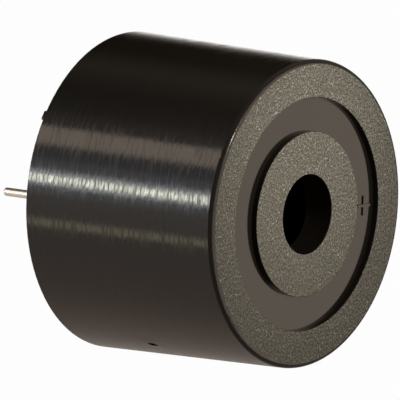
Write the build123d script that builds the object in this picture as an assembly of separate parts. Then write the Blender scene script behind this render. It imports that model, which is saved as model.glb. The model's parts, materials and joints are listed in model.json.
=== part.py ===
from build123d import *
import math
import os

# A round, pin-type piezo buzzer, in millimetres.
# +Z is the way the sound leaves, +X is towards the positive pin, and the origin is the
# centre of the plane that the three rear feet stand on.

os.makedirs("parts", exist_ok=True)

# ---- housing, outside ----
RIM_R = 12.0               # side wall at the rear rim
SIDE_DRAFT = 0.41          # the side wall's radius is this much less at the front face
BODY_H = 17.26             # rear rim to front face
RIM_ROUND = 0.03
FRONT_ROUND = 0.43         # between the side and the front
FOOT_H = 0.25              # the rim stands this far off the board
FOOT_W = 0.74
FOOT_DEPTH = 0.9           # radial
FOOT_ROUND = 0.1
FOOT_COUNT = 3
FIRST_FOOT_ANGLE = 27.5    # from the plus sign, in degrees
MARK_TURN = -1.2           # the plus sign and feet sit this far round from the pin line

# ---- housing, front ----
PORT_R = 3.0
BOSS_R = 6.22
GROOVE_R = 8.78            # outer wall of the ring groove, at the front
GROOVE_DRAFT = 0.03        # that wall's radius is this much less at the floor
GROOVE_DEPTH = 0.45
EDGE_ROUND = 0.05          # the edges of boss, groove and port
PLUS_SIZE = 1.5            # length of each bar of the plus sign
PLUS_STROKE = 0.2
PLUS_H = 0.1

# ---- housing, inside ----
FRONT_WALL = 2.4           # length of the port
CHAMBER_DEPTH = 2.8        # front wall to diaphragm
RIM_WALL = 1.3             # round the resin and the board, at the rim
BOARD_LEDGE = 0.6          # width of the ledge that the board stops on
PLATE_LEDGE = 0.9          # width of the ledge that the diaphragm lies on
RESIN_DEPTH = 2.5          # resin face to board
RESIN_RECESS = 0.6         # rim to resin face

# ---- mark left by the mould's gate on the side wall ----
GATE_LENGTH = 0.85         # along the axis
GATE_WIDTH = 0.5
GATE_DEPTH = 0.12
GATE_Z = 7.7
GATE_ANGLE = 242.1         # from the plus sign

# ---- board and pins ----
BOARD_T = 1.0
BOARD_CLEARANCE = 0.1
PIN_PITCH = 15.0
PIN_R = 0.32
PIN_TIP_Z = -5.33
PIN_TIP_ROUND = 0.12
PIN_STAND = 0.8            # pin above the board's inner face
COLLAR_R = 0.6
COLLAR_H = 0.8
HOLE_CLEARANCE = 0.1       # board hole to lead, radial
LEAD_TAIL = 0.9            # lead past the board's rear face
SOLDER_H = 0.6
SOLDER_SPREAD = 0.35       # joint radius past the lead, at the board
SOLDER_TOP = 0.1           # and at its peak

# ---- diaphragm ----
PLATE_CLEARANCE = 0.1
PLATE_T = 0.2
BARE_RING = 3.0            # brass that shows outside the ceramic
CERAMIC_T = 0.2
SILVER_MARGIN = 0.4        # bare ceramic outside the silver
SILVER_T = 0.03
TONGUE_W = 2.2             # feedback electrode
TONGUE_START = 2.6
SILVER_GAP = 0.4
ADHESIVE_W = 0.9
ADHESIVE_H = 0.6

# ---- components ----
CHOKE_AT = (-1.0, -5.4)
CHOKE_R = 3.0
CHOKE_H = 5.5
CHOKE_FLANGE = 0.8
CHOKE_WAIST_R = 1.4
WINDING_R = 2.7
CHOKE_LEG_PITCH = 3.0
CHOKE_LEG_R = 0.3
TRANSISTOR_AT = (0.0, 6.4)
TRANSISTOR_R = 2.3
TRANSISTOR_FLAT = 1.3      # flat face, from the body's axis
TRANSISTOR_H = 4.6
TRANSISTOR_STAND = 1.4
TRANSISTOR_LEG_PITCH = 1.27
TRANSISTOR_LEG_R = 0.22
AXIAL_STAND = 0.15         # body of a resistor or diode, above the board
RESISTOR_R = 0.9
RESISTOR_LENGTH = 3.3
RESISTOR_END = 0.75        # length of each bulging end
RESISTOR_WAIST = 0.12      # the middle is this much slimmer
RESISTOR_SPAN = 6.4
DIODE_R = 0.85
DIODE_LENGTH = 3.6
DIODE_SPAN = 5.8
AXIAL_LEAD_R = 0.22
RESISTOR_1_AT = (-3.8, 3.5)
RESISTOR_2_AT = (-2.0, 1.2)
RESISTOR_3_AT = (-2.0, -1.1)
DIODE_AT = (4.2, 3.5)

# ---- lead wires: board pad, then landing place on the diaphragm ----
WIRE_R = 0.3
WIRE_CORE_R = 0.14
WIRE_BARE = 0.5
WIRE_BEND_R = 1.2
MAIN_PAD = (3.6, 1.0)
MAIN_SPOT = (1.2, 3.0)
FEEDBACK_PAD = (3.8, -1.2)
GROUND_PAD = (5.4, -4.6)
GROUND_ANGLE = -34.0       # of the spot on the brass, from +X
SPOT_R = 0.75
SPOT_H = 0.45


def polar(radius, angle):
    """The plan position at a radius and an angle in degrees."""
    return (radius * math.cos(math.radians(angle)), radius * math.sin(math.radians(angle)))


# ---- levels along Z ----
Z_RIM = FOOT_H
Z_FRONT = Z_RIM + BODY_H
Z_GROOVE = Z_FRONT - GROOVE_DEPTH
Z_CHAMBER = Z_FRONT - FRONT_WALL
Z_LEDGE = Z_CHAMBER - CHAMBER_DEPTH
Z_RESIN = Z_RIM + RESIN_RECESS
Z_BOARD = Z_RESIN + RESIN_DEPTH
Z_BOARD_TOP = Z_BOARD + BOARD_T
Z_PLATE = Z_LEDGE - PLATE_T
Z_CERAMIC = Z_PLATE - CERAMIC_T
Z_SILVER = Z_CERAMIC - SILVER_T

# ---- radii and places that follow ----
FRONT_R = RIM_R - SIDE_DRAFT
PLUS_CENTRE_R = (BOSS_R + GROOVE_R) / 2
BOARD_BORE_R = RIM_R - RIM_WALL
BORE_R = BOARD_BORE_R - BOARD_LEDGE
CHAMBER_R = BORE_R - PLATE_LEDGE
PLATE_R = BORE_R - PLATE_CLEARANCE
BOARD_R = BOARD_BORE_R - BOARD_CLEARANCE
CERAMIC_R = PLATE_R - BARE_RING
SILVER_R = CERAMIC_R - SILVER_MARGIN
FEEDBACK_SPOT = ((TONGUE_START + SILVER_R) / 2, 0.0)
GROUND_SPOT = polar((CERAMIC_R + BORE_R - ADHESIVE_W) / 2, GROUND_ANGLE)
PIN_PLACES = [(-PIN_PITCH / 2, 0.0), (PIN_PITCH / 2, 0.0)]
WIRE_PADS = [MAIN_PAD, FEEDBACK_PAD, GROUND_PAD]
CUT = 1.0                  # how far a cutting tool runs past the face that it opens


# ---- helpers ----
def rod(radius, low, high, at=(0.0, 0.0)):
    """An upright cylinder between two levels."""
    return Pos(at[0], at[1], low) * extrude(Circle(radius), high - low)


def ring(outer, inner, low, high):
    """An upright tube between two levels."""
    return Pos(0, 0, low) * extrude(Circle(outer) - Circle(inner), high - low)


def cone(low_r, high_r, low, high, at=(0.0, 0.0)):
    """An upright cone stump between two levels."""
    body = Cone(low_r, high_r, high - low, align=(Align.CENTER, Align.CENTER, Align.MIN))
    return Pos(at[0], at[1], low) * body


def circles_at(shape, radius, level):
    """The circular edges of one radius at one level."""
    edges = shape.edges().filter_by(GeomType.CIRCLE)
    return [e for e in edges if abs(e.radius - radius) < 1e-4 and abs(e.center().Z - level) < 1e-4]


def axial_legs(at, span):
    """Where the two legs of a part lying along X go through the board."""
    return [(at[0] - span / 2, at[1]), (at[0] + span / 2, at[1])]


def transistor_legs():
    """Where the three legs in line go through the board."""
    x, y = TRANSISTOR_AT
    return [(x + step * TRANSISTOR_LEG_PITCH, y) for step in (-1, 0, 1)]


def leads():
    """Every component leg and wire core through the board, as (place, radius)."""
    found = []
    for at in (RESISTOR_1_AT, RESISTOR_2_AT, RESISTOR_3_AT):
        found += [(leg, AXIAL_LEAD_R) for leg in axial_legs(at, RESISTOR_SPAN)]
    found += [(leg, AXIAL_LEAD_R) for leg in axial_legs(DIODE_AT, DIODE_SPAN)]
    found += [(leg, CHOKE_LEG_R) for leg in axial_legs(CHOKE_AT, CHOKE_LEG_PITCH)]
    found += [(leg, TRANSISTOR_LEG_R) for leg in transistor_legs()]
    found += [(pad, WIRE_CORE_R) for pad in WIRE_PADS]
    return found


# ---- housing ----
def housing_shell():
    """The tapered drum, rounded from the side to the front, with a crisp rear rim."""
    drum = cone(RIM_R, FRONT_R, Z_RIM, Z_FRONT)
    drum = fillet(circles_at(drum, FRONT_R, Z_FRONT), FRONT_ROUND)
    return fillet(circles_at(drum, RIM_R, Z_RIM), RIM_ROUND)


def groove_cut():
    outer = cone(GROOVE_R - GROOVE_DRAFT, GROOVE_R, Z_GROOVE, Z_FRONT)
    outer += rod(GROOVE_R, Z_FRONT, Z_FRONT + CUT)
    return outer - rod(BOSS_R, Z_GROOVE - CUT, Z_FRONT + 2 * CUT)


def plus_sign():
    """The raised plus sign on the groove's floor, midway between its walls."""
    bar = Box(PLUS_SIZE, PLUS_STROKE, PLUS_H)
    cross = Box(PLUS_STROKE, PLUS_SIZE, PLUS_H)
    return Pos(PLUS_CENTRE_R, 0, Z_GROOVE + PLUS_H / 2) * (bar + cross)


def foot(angle):
    """A small standoff on the rim, flush with the side wall."""
    block = Box(FOOT_DEPTH, FOOT_W, 2 * FOOT_H, align=(Align.MAX, Align.CENTER, Align.MIN))
    block = Pos(RIM_R - RIM_ROUND, 0, 0) * block
    block = fillet(block.edges().filter_by(Axis.Z), FOOT_ROUND)
    block = fillet(block.faces().sort_by(Axis.Z)[0].edges(), FOOT_ROUND)
    return Rot(0, 0, angle) * block


def gate_cut():
    """The shallow oval that the gate left."""
    wall_r = RIM_R + (FRONT_R - RIM_R) * (GATE_Z - Z_RIM) / BODY_H
    oval = SlotOverall(GATE_LENGTH, GATE_WIDTH, rotation=90)
    tool = extrude(Plane.YZ * oval, GATE_DEPTH + CUT)
    return Rot(0, 0, GATE_ANGLE) * (Pos(wall_r - GATE_DEPTH, 0, GATE_Z) * tool)


def housing():
    body = housing_shell() - groove_cut()
    body -= rod(PORT_R, Z_CHAMBER - CUT, Z_FRONT + CUT)
    edges = []
    for radius in (PORT_R, BOSS_R, GROOVE_R):
        edges += circles_at(body, radius, Z_FRONT)
    body = fillet(edges, EDGE_ROUND)
    body -= rod(CHAMBER_R, Z_LEDGE - CUT, Z_CHAMBER)
    body -= rod(BORE_R, Z_BOARD_TOP - CUT, Z_LEDGE)
    body -= rod(BOARD_BORE_R, Z_RIM - CUT, Z_BOARD_TOP)
    body += plus_sign()
    for step in range(FOOT_COUNT):
        body += foot(FIRST_FOOT_ANGLE + step * 360 / FOOT_COUNT)
    body -= gate_cut()
    return Rot(0, 0, MARK_TURN) * body


# ---- board, pins, solder, resin ----
def circuit_board():
    board = rod(BOARD_R, Z_BOARD, Z_BOARD_TOP)
    for place, radius in leads():
        board -= rod(radius + HOLE_CLEARANCE, Z_BOARD - CUT, Z_BOARD_TOP + CUT, place)
    for place in PIN_PLACES:
        board -= rod(PIN_R + HOLE_CLEARANCE, Z_BOARD - CUT, Z_BOARD_TOP + CUT, place)
    return board


def pin(place):
    """A round pin with a rounded tip and a collar that keys it into the resin."""
    shaft = rod(PIN_R, PIN_TIP_Z, Z_BOARD_TOP + PIN_STAND)
    shaft = fillet(circles_at(shaft, PIN_R, PIN_TIP_Z), PIN_TIP_ROUND)
    shaft += rod(COLLAR_R, Z_RESIN, Z_RESIN + COLLAR_H)
    return Pos(place[0], place[1], 0) * shaft


def solder_joint(place, lead_r, face, direction):
    """A solder cone on a board face round a lead; direction is 1 upwards, -1 downwards."""
    wide = lead_r + SOLDER_SPREAD
    slim = lead_r + SOLDER_TOP
    if direction > 0:
        joint = cone(wide, slim, face, face + SOLDER_H, place)
    else:
        joint = cone(slim, wide, face - SOLDER_H, face, place)
    return joint - rod(lead_r, face - CUT, face + CUT, place)


def board_solder():
    joints = [solder_joint(place, radius, Z_BOARD, -1) for place, radius in leads()]
    joints += [solder_joint(place, PIN_R, Z_BOARD_TOP, 1) for place in PIN_PLACES]
    return joints


def back_seal():
    """The resin, cast round the joints, the lead tails and the pins' collars."""
    resin = rod(BOARD_BORE_R, Z_RESIN, Z_BOARD)
    for place, radius in leads():
        resin -= rod(radius, Z_BOARD - LEAD_TAIL, Z_BOARD + CUT, place)
        wide = radius + SOLDER_SPREAD
        resin -= cone(radius + SOLDER_TOP, wide, Z_BOARD - SOLDER_H, Z_BOARD, place)
    for place in PIN_PLACES:
        resin -= rod(PIN_R, Z_RESIN - CUT, Z_BOARD + CUT, place)
        resin -= rod(COLLAR_R, Z_RESIN - CUT, Z_RESIN + COLLAR_H, place)
    return resin


# ---- diaphragm ----
def tongue(margin):
    """The outline of the feedback electrode, grown by a margin."""
    length = SILVER_R - TONGUE_START + 2 * margin
    start = TONGUE_START - margin
    box = Box(length, TONGUE_W + 2 * margin, SILVER_T, align=(Align.MIN, Align.CENTER, Align.MIN))
    return Pos(start, 0, Z_SILVER) * box


def main_electrode():
    return rod(SILVER_R, Z_SILVER, Z_CERAMIC) - tongue(SILVER_GAP)


def feedback_electrode():
    return rod(SILVER_R, Z_SILVER, Z_CERAMIC) & tongue(0.0)


def diaphragm_adhesive():
    """A triangular bead in the corner between the brass disc and the bore."""
    outline = Polyline(
        (BORE_R - ADHESIVE_W, 0, Z_PLATE),
        (BORE_R, 0, Z_PLATE),
        (BORE_R, 0, Z_PLATE - ADHESIVE_H),
        close=True,
    )
    return revolve(make_face(outline), Axis.Z)


# ---- components ----
def choke_core():
    x, y = CHOKE_AT
    base = Z_BOARD_TOP
    core = rod(CHOKE_R, base, base + CHOKE_FLANGE, CHOKE_AT)
    core += rod(CHOKE_WAIST_R, base, base + CHOKE_H, CHOKE_AT)
    core += rod(CHOKE_R, base + CHOKE_H - CHOKE_FLANGE, base + CHOKE_H, CHOKE_AT)
    for leg in axial_legs(CHOKE_AT, CHOKE_LEG_PITCH):
        core += rod(CHOKE_LEG_R, Z_BOARD - LEAD_TAIL, base, leg)
    return core


def choke_winding():
    low = Z_BOARD_TOP + CHOKE_FLANGE
    high = Z_BOARD_TOP + CHOKE_H - CHOKE_FLANGE
    return Pos(CHOKE_AT[0], CHOKE_AT[1], 0) * ring(WINDING_R, CHOKE_WAIST_R, low, high)


def transistor():
    """A small moulded transistor: a round back, a flat front and three legs in line."""
    low = Z_BOARD_TOP + TRANSISTOR_STAND
    flat = Rectangle(2 * TRANSISTOR_R, 2 * TRANSISTOR_R, align=(Align.CENTER, Align.MAX))
    outline = Circle(TRANSISTOR_R) - Pos(0, -TRANSISTOR_FLAT) * flat
    body = Pos(TRANSISTOR_AT[0], TRANSISTOR_AT[1], low) * extrude(outline, TRANSISTOR_H)
    for leg in transistor_legs():
        body += rod(TRANSISTOR_LEG_R, Z_BOARD - LEAD_TAIL, low, leg)
    return body


def bent_leads(at, span, height):
    """One wire along a lying part and down through the board at both ends."""
    low = Z_BOARD - LEAD_TAIL
    bend = 2 * AXIAL_LEAD_R
    points = [(-span / 2, 0, low), (-span / 2, 0, height), (span / 2, 0, height), (span / 2, 0, low)]
    path = FilletPolyline(*points, radius=bend)
    wire = sweep(Plane(points[0], z_dir=(0, 0, 1)) * Circle(AXIAL_LEAD_R), path)
    return Pos(at[0], at[1], 0) * wire


def resistor(at):
    height = Z_BOARD_TOP + AXIAL_STAND + RESISTOR_R
    slim = RESISTOR_R - RESISTOR_WAIST
    end_x = (RESISTOR_LENGTH - RESISTOR_END) / 2
    body = Cylinder(slim, RESISTOR_LENGTH)
    for side in (-1, 1):
        body += Pos(0, 0, side * end_x) * Cylinder(RESISTOR_R, RESISTOR_END)
    body = Pos(at[0], at[1], height) * (Rot(0, 90, 0) * body)
    return body + bent_leads(at, RESISTOR_SPAN, height)


def protection_diode():
    height = Z_BOARD_TOP + AXIAL_STAND + DIODE_R
    body = Rot(0, 90, 0) * Cylinder(DIODE_R, DIODE_LENGTH)
    body = Pos(DIODE_AT[0], DIODE_AT[1], height) * body
    return body + bent_leads(DIODE_AT, DIODE_SPAN, height)


# ---- lead wires and their spots on the diaphragm ----
def lead_wire(pad, spot, face):
    """Insulated wire from a board pad up to a solder spot, with bare ends."""
    insulation_low = Z_BOARD_TOP + WIRE_BARE
    insulation_high = face - WIRE_BARE
    middle = (insulation_low + insulation_high) / 2
    points = [
        (pad[0], pad[1], insulation_low),
        (pad[0], pad[1], middle - WIRE_BEND_R),
        (spot[0], spot[1], middle + WIRE_BEND_R),
        (spot[0], spot[1], insulation_high),
    ]
    path = FilletPolyline(*points, radius=WIRE_BEND_R)
    wire = sweep(Plane(points[0], z_dir=(0, 0, 1)) * Circle(WIRE_R), path)
    wire += rod(WIRE_CORE_R, Z_BOARD - LEAD_TAIL, insulation_low, pad)
    wire += rod(WIRE_CORE_R, insulation_high, face, spot)
    return wire


def solder_spot(spot, face):
    """A flat-topped solder cone that hangs under the diaphragm round a wire's end."""
    joint = cone(SPOT_R / 2, SPOT_R, face - SPOT_H, face, spot)
    return joint - rod(WIRE_CORE_R, face - SPOT_H - CUT, face, spot)


def diaphragm_solder():
    spots = [(MAIN_SPOT, Z_SILVER), (FEEDBACK_SPOT, Z_SILVER), (GROUND_SPOT, Z_PLATE)]
    return [solder_spot(spot, face) for spot, face in spots]


# ---- every piece, one file each ----
def pieces():
    return {
        "housing": housing(),
        "back_seal": back_seal(),
        "circuit_board": circuit_board(),
        "board_solder": board_solder(),
        "pin_negative": pin(PIN_PLACES[0]),
        "pin_positive": pin(PIN_PLACES[1]),
        "diaphragm_plate": rod(PLATE_R, Z_PLATE, Z_LEDGE),
        "piezo_disc": rod(CERAMIC_R, Z_CERAMIC, Z_PLATE),
        "main_electrode": main_electrode(),
        "feedback_electrode": feedback_electrode(),
        "diaphragm_adhesive": diaphragm_adhesive(),
        "diaphragm_solder": diaphragm_solder(),
        "transistor": transistor(),
        "resistor_1": resistor(RESISTOR_1_AT),
        "resistor_2": resistor(RESISTOR_2_AT),
        "resistor_3": resistor(RESISTOR_3_AT),
        "protection_diode": protection_diode(),
        "choke_core": choke_core(),
        "choke_winding": choke_winding(),
        "lead_wire_main": lead_wire(MAIN_PAD, MAIN_SPOT, Z_SILVER),
        "lead_wire_feedback": lead_wire(FEEDBACK_PAD, FEEDBACK_SPOT, Z_SILVER),
        "lead_wire_ground": lead_wire(GROUND_PAD, GROUND_SPOT, Z_PLATE),
    }


def solids_of(shape):
    """The shape's solids, whether it is one shape or a list of them."""
    if isinstance(shape, list):
        return [solid for item in shape for solid in item.solids()]
    return list(shape.solids())


for name, shape in pieces().items():
    solids = solids_of(shape)
    whole = solids[0] if len(solids) == 1 else Compound(children=solids)
    whole.label = name
    export_step(whole, f"parts/{name}.step")
    print(f"{name}: {len(solids)} solid(s), {sum(s.volume for s in solids):.3f} mm3")
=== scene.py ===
import json
import math

import bpy
from mathutils import Matrix, Vector

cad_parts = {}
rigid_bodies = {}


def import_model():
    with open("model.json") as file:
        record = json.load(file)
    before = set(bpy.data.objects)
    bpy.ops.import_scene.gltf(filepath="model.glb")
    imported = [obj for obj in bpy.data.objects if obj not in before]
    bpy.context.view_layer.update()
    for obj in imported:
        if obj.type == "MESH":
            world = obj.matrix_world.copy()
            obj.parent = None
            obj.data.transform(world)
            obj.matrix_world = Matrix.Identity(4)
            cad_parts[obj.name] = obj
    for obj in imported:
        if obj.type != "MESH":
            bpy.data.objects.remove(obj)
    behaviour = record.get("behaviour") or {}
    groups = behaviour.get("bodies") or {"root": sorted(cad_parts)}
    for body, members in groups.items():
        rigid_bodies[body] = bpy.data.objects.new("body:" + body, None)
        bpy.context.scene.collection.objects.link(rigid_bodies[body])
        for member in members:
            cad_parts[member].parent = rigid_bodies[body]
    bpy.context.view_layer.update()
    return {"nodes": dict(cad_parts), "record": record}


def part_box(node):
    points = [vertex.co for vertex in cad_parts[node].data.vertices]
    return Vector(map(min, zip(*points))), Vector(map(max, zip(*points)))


for leftover in list(bpy.data.objects):
    bpy.data.objects.remove(leftover)

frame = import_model()

MM = 0.001
FRONT_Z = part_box("housing")[1].z
RIM_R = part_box("housing")[1].x

# ---- camera: where it looks from, in the frame's own axes ----
CAMERA_AZIMUTH = 169.4       # degrees from +X
CAMERA_ELEVATION = 37.21
CAMERA_ROLL = 97.8
CAMERA_DISTANCE = 750 * MM
CAMERA_SENSOR = 36.0         # millimetres
CAMERA_LENS = 900.0          # millimetres: almost no perspective
AIM_HEIGHT = 9.25 * MM       # point on the axis that the camera is aimed by
AIM_RIGHT = -1.484 * MM
AIM_UP = 0.173 * MM


# ---- node helpers ----
def add(tree, kind, inputs=(), **settings):
    """A node with its settings, and its inputs given as values or as sockets to link."""
    node = tree.nodes.new(kind)
    for name, value in settings.items():
        setattr(node, name, value)
    for key, value in dict(inputs).items():
        if isinstance(value, bpy.types.NodeSocket):
            tree.links.new(value, node.inputs[key])
        else:
            node.inputs[key].default_value = value
    return node


def math_node(tree, operation, a, b=0.0):
    return add(tree, "ShaderNodeMath", {0: a, 1: b}, operation=operation).outputs[0]


def smooth_step(tree, value, low, high):
    """0 below low, 1 above high, smooth between."""
    inputs = {"Value": value, "From Min": low, "From Max": high}
    node = add(tree, "ShaderNodeMapRange", inputs, interpolation_type="SMOOTHSTEP")
    return node.outputs[0]


def ramp(tree, value, stops):
    """A colour ramp with (position, colour) stops."""
    node = add(tree, "ShaderNodeValToRGB", {0: value})
    elements = node.color_ramp.elements
    while len(elements) < len(stops):
        elements.new(0.5)
    for element, (position, colour) in zip(elements, stops):
        element.position = position
        element.color = (*colour, 1.0)
    return node.outputs[0]


def mix_colour(tree, factor, first, second, blend="MIX"):
    node = add(tree, "ShaderNodeMix", {0: factor, 6: first, 7: second}, data_type="RGBA", blend_type=blend)
    return node.outputs[2]


def mix_value(tree, factor, first, second):
    return add(tree, "ShaderNodeMix", {0: factor, 2: first, 3: second}).outputs[0]


def new_material(name):
    """A material with a fresh Principled shader; returns it, its tree and the shader."""
    material = bpy.data.materials.new(name)
    material.use_nodes = True
    tree = material.node_tree
    tree.nodes.clear()
    output = add(tree, "ShaderNodeOutputMaterial")
    shader = add(tree, "ShaderNodeBsdfPrincipled")
    tree.links.new(shader.outputs[0], output.inputs[0])
    return material, tree, shader


def object_point(tree):
    return add(tree, "ShaderNodeTexCoord").outputs["Object"]


def noise(tree, vector, feature, detail=2.0, roughness=0.5):
    """Noise whose features are about `feature` metres across, 0 to 1."""
    inputs = {"Vector": vector, "Scale": 1 / feature, "Detail": detail, "Roughness": roughness}
    return add(tree, "ShaderNodeTexNoise", inputs).outputs[0]


def cylinder_point(tree):
    """Height, angle round the axis in radians, and distance from the axis."""
    point = object_point(tree)
    parts = add(tree, "ShaderNodeSeparateXYZ", {0: point})
    x, y, z = parts.outputs
    angle = math_node(tree, "ARCTAN2", y, x)
    radius = math_node(tree, "SQRT", math_node(tree, "ADD", math_node(tree, "POWER", x, 2.0),
                                               math_node(tree, "POWER", y, 2.0)))
    return z, angle, radius


# ---- housing ----
PLASTIC = (0.0055, 0.0045, 0.0035, 1.0)
HAIR_WIDTH = 0.16 * MM
HAIR_SLANT = -0.8 * MM       # how far a hairline drifts along the axis in one radian
HAIR_STRETCH = 1.1 * MM      # one radian counts as this much, which makes the hairlines long
BRUSH_WIDTH = 0.22 * MM
BRUSH_SLANT = 5.0 * MM
SCUFF_WIDTH = 0.20 * MM
SCUFF_SLANT = -0.4 * MM
SCUFF_EDGES = (0.46, 0.62)   # noise levels between which a scuff begins and is full
BRUSH_SHARE = 0.8            # of the hairlines' depth
TURNED_FROM = 0.85           # share of the housing's radius past which its side shows turning
TURNED_BLEND = 0.5 * MM
SIDE_RELIEF = 0.011 * MM
GLOSS = (0.08, 0.24)         # roughness between the scuffs, and on them
SMOOTH_GLOSS = (0.08, 0.16)  # roughness inside the turned side, which drifts between these
SMOOTH_PATCH = 4.0 * MM
GRAIN = 0.17 * MM
FINE_GRAIN = 0.13 * MM
GRAIN_PATCH = 3.0 * MM
GRAIN_RELIEF = 0.09 * MM
GRAIN_ROUGHNESS = 0.8
GRAIN_EDGES = (0.42, 0.62)   # noise levels between which a grain's painted sheen turns from dark to pale
# painted glints: noise levels between which a bright speck of painted highlight begins and is full
PAINTED_GLINT_EDGES = (0.63, 0.76)
FINE_SHARE = 0.5             # of the grain's relief
# painted sheen: the moulding is near black, and these greys stand in for light scattered off the rough
# facets; the dark one drifts at random in tone between patches
DARK_GRAIN_SHEEN = ((0.044, 0.040, 0.033, 1.0), (0.058, 0.053, 0.043, 1.0))
PALE_GRAIN_SHEEN = (0.145, 0.138, 0.114, 1.0)
# painted glints: the specks' pale colour stands in for light caught by single facets
PAINTED_GLINT_COLOUR = (0.34, 0.33, 0.29, 1.0)
TEXTURE_DEPTHS = (0.008 * MM, 0.002 * MM)  # below the front, where the texture begins and is full


def hairlines(tree, z, angle, slant, feature):
    """Noise drawn out round the axis into long lines about one feature wide."""
    along = math_node(tree, "ADD", z, math_node(tree, "MULTIPLY", angle, slant))
    around = math_node(tree, "MULTIPLY", angle, HAIR_STRETCH)
    place = add(tree, "ShaderNodeCombineXYZ", {0: along, 1: around}).outputs[0]
    return noise(tree, place, feature, detail=3.0, roughness=0.6)


def side_finish(tree):
    """Near-black gloss, with fine turned hairlines round the outside: colour, roughness, normal."""
    z, angle, radius = cylinder_point(tree)
    hairs = hairlines(tree, z, angle, HAIR_SLANT, HAIR_WIDTH)
    brushed = hairlines(tree, z, angle, BRUSH_SLANT, BRUSH_WIDTH)
    scuffs = hairlines(tree, z, angle, SCUFF_SLANT, SCUFF_WIDTH)
    height = math_node(tree, "ADD", hairs, math_node(tree, "MULTIPLY", brushed, BRUSH_SHARE))
    edge = TURNED_FROM * RIM_R
    turned = smooth_step(tree, radius, edge, edge + TURNED_BLEND)
    height = math_node(tree, "MULTIPLY", height, turned)
    bump = add(tree, "ShaderNodeBump", {"Height": height, "Strength": 1.0, "Distance": SIDE_RELIEF})
    streaks = mix_value(tree, smooth_step(tree, scuffs, *SCUFF_EDGES), *GLOSS)
    clouds = mix_value(tree, noise(tree, object_point(tree), SMOOTH_PATCH), *SMOOTH_GLOSS)
    roughness = mix_value(tree, turned, clouds, streaks)
    return PLASTIC, roughness, bump.outputs[0]


def front_grain_and_painted_sheen(tree):
    """Spark-eroded grain relief, whose dark and light grains carry painted sheen, with bright specks of
    painted glint: colour, normal.
    """
    point = object_point(tree)
    grain = noise(tree, point, GRAIN, detail=3.0, roughness=0.75)
    fine = noise(tree, point, FINE_GRAIN, detail=1.0, roughness=0.6)
    cloud = noise(tree, point, GRAIN_PATCH, detail=1.0)
    # painted sheen: grey grains over the black moulding, paler at the higher noise levels
    dark = mix_colour(tree, cloud, *DARK_GRAIN_SHEEN)
    colour = mix_colour(tree, smooth_step(tree, grain, *GRAIN_EDGES), dark, PALE_GRAIN_SHEEN)
    # painted glints: bright specks that stand in for light caught by single facets
    painted_glint = smooth_step(tree, fine, *PAINTED_GLINT_EDGES)
    colour = mix_colour(tree, painted_glint, colour, PAINTED_GLINT_COLOUR)
    height = math_node(tree, "ADD", grain, math_node(tree, "MULTIPLY", fine, FINE_SHARE))
    bump = add(tree, "ShaderNodeBump", {"Height": height, "Strength": 1.0, "Distance": GRAIN_RELIEF})
    return colour, bump.outputs[0]


def housing_material():
    """Black moulding: a glossy side, groove and port, and a textured front and boss whose grey is painted
    sheen.
    """
    material, tree, shader = new_material("housing_plastic")
    z = add(tree, "ShaderNodeSeparateXYZ", {0: object_point(tree)}).outputs[2]
    begins, full = TEXTURE_DEPTHS
    textured = smooth_step(tree, z, FRONT_Z - begins, FRONT_Z - full)
    black, gloss, smooth = side_finish(tree)
    # the front's grey is painted sheen with painted glints, over the black moulding
    painted_sheen_grey, rough = front_grain_and_painted_sheen(tree)
    normal = add(tree, "ShaderNodeMix", {0: textured, 4: smooth, 5: rough}, data_type="VECTOR").outputs[1]
    tree.links.new(mix_colour(tree, textured, black, painted_sheen_grey), shader.inputs["Base Color"])
    tree.links.new(mix_value(tree, textured, gloss, GRAIN_ROUGHNESS), shader.inputs["Roughness"])
    tree.links.new(normal, shader.inputs["Normal"])
    return material


# ---- the other finishes ----
FINE_SCALE = 6               # a finish's fine noise is this many times smaller than its patches
ROUGHNESS_DRIFT = (0.8, 1.2)  # shares of a finish's roughness, between which it drifts


def plain_material(name, colour, second, feature, roughness, metallic, bump):
    """A finish whose colour and roughness drift with noise, with a fine bump in millimetres."""
    material, tree, shader = new_material(name)
    point = object_point(tree)
    drift = noise(tree, point, feature * MM, detail=3.0)
    fine = noise(tree, point, feature * MM / FINE_SCALE, detail=2.0)
    tree.links.new(mix_colour(tree, drift, (*colour, 1.0), (*second, 1.0)), shader.inputs["Base Color"])
    least, most = ROUGHNESS_DRIFT
    spread = mix_value(tree, fine, roughness * least, min(1.0, roughness * most))
    tree.links.new(spread, shader.inputs["Roughness"])
    shader.inputs["Metallic"].default_value = metallic
    relief = add(tree, "ShaderNodeBump", {"Height": fine, "Strength": 1.0, "Distance": bump * MM})
    tree.links.new(relief.outputs[0], shader.inputs["Normal"])
    return material


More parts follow.
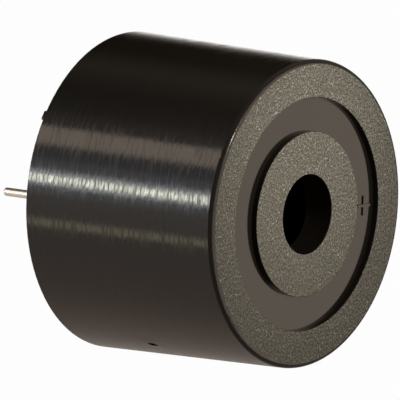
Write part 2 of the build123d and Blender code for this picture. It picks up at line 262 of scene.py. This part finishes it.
# first colour, second colour, patch size in mm, roughness, metallic, relief in mm
FINISHES = {
    "resin": ((0.010, 0.010, 0.010), (0.016, 0.015, 0.014), 2.5, 0.28, 0.0, 0.01),
    "tinned_pin": ((0.93, 0.92, 0.90), (0.84, 0.83, 0.80), 0.8, 0.34, 1.0, 0.003),
    "board": ((0.26, 0.17, 0.07), (0.20, 0.13, 0.05), 1.2, 0.5, 0.0, 0.005),
    "solder": ((0.72, 0.72, 0.70), (0.58, 0.58, 0.57), 0.4, 0.3, 1.0, 0.004),
    "plate_brass": ((0.72, 0.50, 0.20), (0.62, 0.42, 0.17), 1.5, 0.3, 1.0, 0.001),
    "piezo_ceramic": ((0.62, 0.57, 0.47), (0.55, 0.50, 0.41), 0.5, 0.6, 0.0, 0.003),
    "silver": ((0.80, 0.79, 0.76), (0.70, 0.69, 0.66), 0.7, 0.45, 1.0, 0.002),
    "silicone": ((0.72, 0.72, 0.70), (0.62, 0.62, 0.60), 0.8, 0.4, 0.0, 0.01),
    "moulded_epoxy": ((0.020, 0.020, 0.020), (0.030, 0.030, 0.030), 0.3, 0.5, 0.0, 0.006),
    "resistor_coat": ((0.62, 0.47, 0.28), (0.54, 0.40, 0.23), 0.6, 0.3, 0.0, 0.004),
    "ferrite": ((0.045, 0.045, 0.047), (0.070, 0.070, 0.072), 0.25, 0.6, 0.0, 0.006),
    "copper": ((0.64, 0.26, 0.10), (0.48, 0.18, 0.07), 0.5, 0.25, 0.9, 0.02),
    "wire_red": ((0.55, 0.02, 0.015), (0.45, 0.015, 0.01), 0.7, 0.4, 0.0, 0.003),
    "wire_blue": ((0.02, 0.08, 0.42), (0.015, 0.06, 0.34), 0.7, 0.4, 0.0, 0.003),
    "wire_black": ((0.015, 0.015, 0.015), (0.025, 0.025, 0.025), 0.7, 0.4, 0.0, 0.003),
}


def dress_nodes():
    """Gives every CAD node the finish of its material slot."""
    finishes = {name: plain_material(name, *values) for name, values in FINISHES.items()}
    finishes["housing_plastic"] = housing_material()
    for row in frame["record"]["subparts"]:
        node = frame["nodes"][row["node"]]
        node.data.materials.clear()
        node.data.materials.append(finishes[row["material_slot"]])


# ---- studio ----
SOFTBOX_AZIMUTH = 349.4      # a round softbox overhead, leaning away from the camera
SOFTBOX_ELEVATION = 73.0
SOFTBOX_HALF_ANGLE = 45.0
SOFTBOX_BLUR = 0.02          # of the cosine, at its edge
SOFTBOX_COLOUR = (1.40, 1.18, 0.97, 1.0)
HORIZON_COLOUR = (0.20, 0.18, 0.16, 1.0)
WORLD_FILL = 0.22            # how bright the whole world is to matt surfaces, as a share of mirrored
ROOM_TOP = (-0.5, -0.3)      # sines of elevation between which the room gives way to the horizon

# The room that the side mirrors: how far round from +X, where 1 is a full turn,
# the brightness there, and green and blue as shares of it.
ROOM = [
    (0.000, 1.40, 0.99, 0.97), (0.007, 1.28, 0.98, 0.95), (0.029, 0.57, 0.94, 0.88),
    (0.052, 0.11, 0.86, 0.74), (0.074, 0.012, 0.75, 0.5), (0.150, 0.030, 0.8, 0.6),
    (0.210, 0.16, 0.85, 0.7), (0.275, 0.10, 0.86, 0.72), (0.325, 0.18, 0.9, 0.8),
    (0.350, 0.38, 0.9, 0.85), (0.410, 0.50, 0.97, 1.0), (0.500, 0.82, 0.92, 0.85),
    (0.570, 0.62, 0.86, 0.76), (0.720, 0.55, 0.80, 0.68), (0.800, 0.50, 0.80, 0.68),
    (0.850, 0.43, 0.82, 0.70), (0.920, 0.35, 0.87, 0.76), (0.962, 0.30, 0.90, 0.80),
    (0.973, 1.30, 1.00, 1.00), (1.000, 1.40, 0.99, 0.97),
]

LAMP_DISTANCE = 0.5
# azimuth and elevation from the part, width and height as angles, radiance, colour
LAMPS = {
    "key_strip": (169.2, -34.5, 4.2, 5.5, 27.0, (1.0, 0.97, 0.78)),
    "glow_strip": (168.8, -34.5, 9.5, 22.0, 2.6, (0.86, 0.94, 1.0)),
    "halo_strip": (168.0, -34.5, 20.0, 30.0, 0.35, (0.72, 0.84, 1.0)),
    "side_strip": (138.6, -34.0, 11.0, 44.0, 2.0, (1.0, 0.81, 0.63)),
    "warm_strip": (200.5, -34.0, 4.5, 24.0, 1.25, (1.0, 0.90, 0.58)),
    "small_lamp": (101.0, 61.0, 7.0, 7.0, 20.0, (1.0, 0.98, 0.95)),
}

KEY_AZIMUTH = 93.0           # the spot on the front
KEY_ELEVATION = 58.0
KEY_DISTANCE = 120 * MM
KEY_AIM = 6.5 * MM           # the spot's centre, off the axis towards the lamp
KEY_HALF_ANGLE = 7.7
KEY_BLEND = 0.65
KEY_RADIUS = 9 * MM
KEY_POWER = 1.0
KEY_COLOUR = (1.0, 0.98, 0.92)

FLOOR_DEPTH = 250 * MM       # below the feet
FLOOR_HALF = 2.0
FLOOR_WHITE = 0.98           # share of plain white in what the camera sees; the rest takes the shadow


def direction(azimuth, elevation):
    a, e = math.radians(azimuth), math.radians(elevation)
    return Vector((math.cos(e) * math.cos(a), math.cos(e) * math.sin(a), math.sin(e)))


def studio_world():
    """What the object mirrors: a low room, a dim horizon and a softbox. The camera sees white."""
    world = bpy.data.worlds.new("studio")
    bpy.context.scene.world = world
    world.use_nodes = True
    tree = world.node_tree
    tree.nodes.clear()
    way = add(tree, "ShaderNodeTexCoord").outputs["Generated"]
    x, y, z = add(tree, "ShaderNodeSeparateXYZ", {0: way}).outputs
    turn = math_node(tree, "DIVIDE", math_node(tree, "ARCTAN2", y, x), 2 * math.pi)
    turn = math_node(tree, "FRACT", math_node(tree, "ADD", turn, 1.0))
    stops = [(at, (level, level * green, level * blue)) for at, level, green, blue in ROOM]
    room = ramp(tree, turn, stops)
    lit = mix_colour(tree, smooth_step(tree, z, *ROOM_TOP), room, HORIZON_COLOUR)
    centre = tuple(direction(SOFTBOX_AZIMUTH, SOFTBOX_ELEVATION))
    toward = add(tree, "ShaderNodeVectorMath", {0: way, 1: centre}, operation="DOT_PRODUCT").outputs["Value"]
    edge = math.cos(math.radians(SOFTBOX_HALF_ANGLE))
    inside = smooth_step(tree, toward, edge - SOFTBOX_BLUR, edge + SOFTBOX_BLUR)
    lit = mix_colour(tree, inside, lit, SOFTBOX_COLOUR)
    rays = add(tree, "ShaderNodeLightPath").outputs
    dimmed = mix_colour(tree, 1.0, lit, (WORLD_FILL, WORLD_FILL, WORLD_FILL, 1.0), "MULTIPLY")
    lit = mix_colour(tree, rays["Is Diffuse Ray"], lit, dimmed)
    colour = mix_colour(tree, rays["Is Camera Ray"], lit, (1.0, 1.0, 1.0, 1.0))
    background = add(tree, "ShaderNodeBackground", {0: colour, 1: 1.0})
    output = add(tree, "ShaderNodeOutputWorld")
    tree.links.new(background.outputs[0], output.inputs[0])


def strip_light(name, azimuth, elevation, width, height, radiance, colour):
    """An area lamp in a direction from the object; width and height are the angles that it fills."""
    lamp = bpy.data.lights.new(name, "AREA")
    lamp.shape = "RECTANGLE"
    lamp.size = 2 * LAMP_DISTANCE * math.tan(math.radians(width / 2))
    lamp.size_y = 2 * LAMP_DISTANCE * math.tan(math.radians(height / 2))
    lamp.energy = radiance * math.pi * lamp.size * lamp.size_y
    lamp.color = colour
    holder = bpy.data.objects.new(name, lamp)
    bpy.context.scene.collection.objects.link(holder)
    way = direction(azimuth, elevation)
    turn = way.to_track_quat("Z", "Y").to_matrix()
    spot = Vector((0, 0, AIM_HEIGHT)) + way * LAMP_DISTANCE
    holder.matrix_world = Matrix.Translation(spot) @ turn.to_4x4()
    holder.visible_camera = False


def key_lamp():
    """A soft-edged spot on the front, which fades away from the lamp and isn't mirrored."""
    lamp = bpy.data.lights.new("key_lamp", "SPOT")
    lamp.energy = KEY_POWER
    lamp.spot_size = math.radians(2 * KEY_HALF_ANGLE)
    lamp.spot_blend = KEY_BLEND
    lamp.shadow_soft_size = KEY_RADIUS
    lamp.color = KEY_COLOUR
    holder = bpy.data.objects.new("key_lamp", lamp)
    bpy.context.scene.collection.objects.link(holder)
    front = Vector((0, 0, FRONT_Z))
    aim = front + direction(KEY_AZIMUTH, 0.0) * KEY_AIM
    spot = front + direction(KEY_AZIMUTH, KEY_ELEVATION) * KEY_DISTANCE
    turn = (spot - aim).to_track_quat("Z", "Y").to_matrix().to_4x4()
    holder.matrix_world = Matrix.Translation(spot) @ turn
    holder.visible_camera = False
    holder.visible_glossy = False


def studio_floor():
    """A plain pale floor well below the part, almost white to the camera, clear from underneath."""
    mesh = bpy.data.meshes.new("floor")
    plan = [(-1, -1), (1, -1), (1, 1), (-1, 1)]
    mesh.from_pydata([(x * FLOOR_HALF, y * FLOOR_HALF, -FLOOR_DEPTH) for x, y in plan], [], [(0, 1, 2, 3)])
    floor = bpy.data.objects.new("floor", mesh)
    bpy.context.scene.collection.objects.link(floor)
    material, tree, shader = new_material("pale_floor")
    shader.inputs["Base Color"].default_value = (0.85, 0.85, 0.85, 1.0)
    shader.inputs["Roughness"].default_value = 0.8
    white = add(tree, "ShaderNodeEmission", {0: (1.0, 1.0, 1.0, 1.0), 1: 1.0})
    to_camera = add(tree, "ShaderNodeLightPath").outputs["Is Camera Ray"]
    share = math_node(tree, "MULTIPLY", to_camera, FLOOR_WHITE)
    seen = add(tree, "ShaderNodeMixShader", {0: share, 1: shader.outputs[0], 2: white.outputs[0]})
    under = add(tree, "ShaderNodeNewGeometry").outputs["Backfacing"]
    clear = add(tree, "ShaderNodeBsdfTransparent")
    seen = add(tree, "ShaderNodeMixShader", {0: under, 1: seen.outputs[0], 2: clear.outputs[0]})
    tree.links.new(seen.outputs[0], tree.nodes["Material Output"].inputs[0])
    mesh.materials.append(material)
    floor.visible_glossy = False


def place_camera():
    camera = bpy.data.cameras.new("camera")
    camera.lens = CAMERA_LENS
    camera.sensor_width = CAMERA_SENSOR
    camera.clip_start = 0.01
    camera.clip_end = 100.0
    holder = bpy.data.objects.new("camera", camera)
    bpy.context.scene.collection.objects.link(holder)
    back = direction(CAMERA_AZIMUTH, CAMERA_ELEVATION)
    level = Vector((0, 0, 1)).cross(back).normalized()
    upright = back.cross(level)
    roll = math.radians(CAMERA_ROLL)
    right = math.cos(roll) * level + math.sin(roll) * upright
    up = back.cross(right)
    spot = Vector((0, 0, AIM_HEIGHT)) + back * CAMERA_DISTANCE + right * AIM_RIGHT + up * AIM_UP
    holder.matrix_world = Matrix.Translation(spot) @ Matrix((right, up, back)).transposed().to_4x4()
    bpy.context.scene.camera = holder


dress_nodes()
studio_world()
for lamp_name, lamp_values in LAMPS.items():
    strip_light(lamp_name, *lamp_values)
key_lamp()
studio_floor()
place_camera()
bpy.context.scene.view_settings.view_transform = "Standard"
